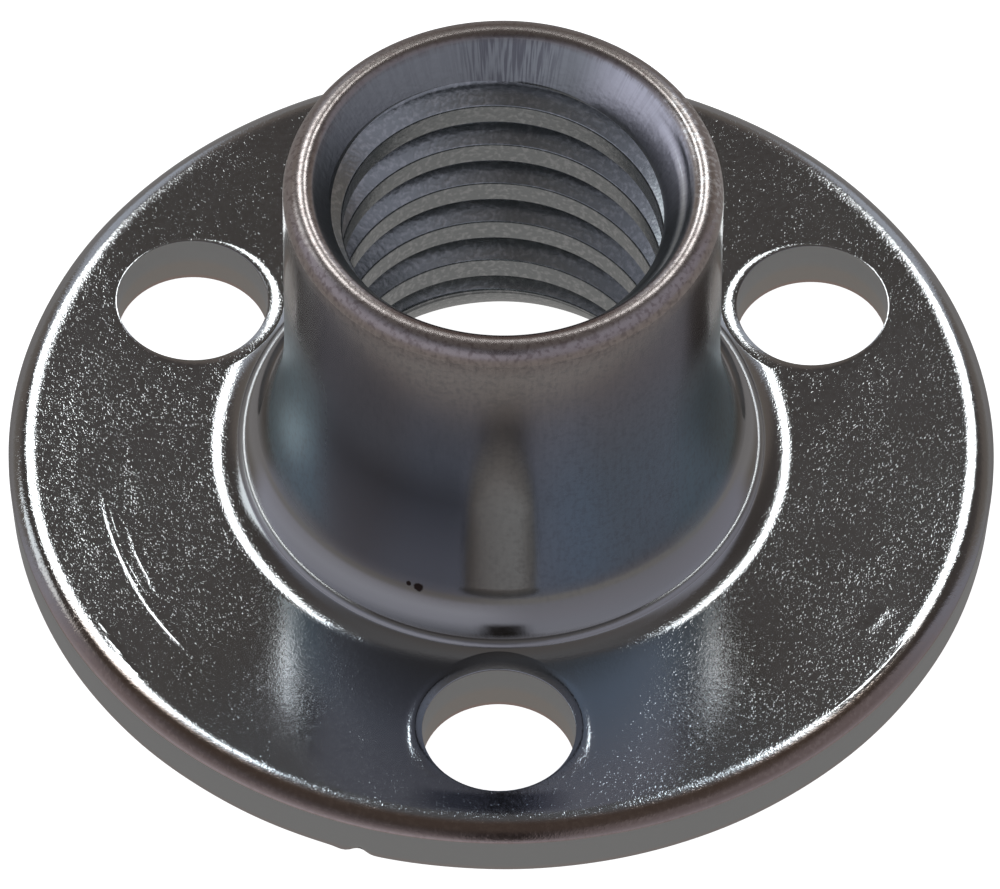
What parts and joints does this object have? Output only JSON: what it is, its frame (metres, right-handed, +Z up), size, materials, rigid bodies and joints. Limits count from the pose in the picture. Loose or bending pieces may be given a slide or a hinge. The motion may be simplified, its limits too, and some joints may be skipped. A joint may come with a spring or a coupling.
{
  "type": "tee nut",
  "caption": "Screw-on tee nut: a round zinc-plated steel flange with brad holes around a short barrel that carries a coarse internal bolt thread.",
  "frame": {"origin": "centre of the flange's underside, on the barrel's axis", "axes": "+Z up the barrel, away from the flange; -Y passes through one brad hole"},
  "size_m": [0.0256, 0.0256, 0.0123],
  "materials": {
    "zinc_steel": "satin"
  },
  "bodies": {
    "root": {"tee_nut": "zinc_steel"}
  },
  "joints": []
}
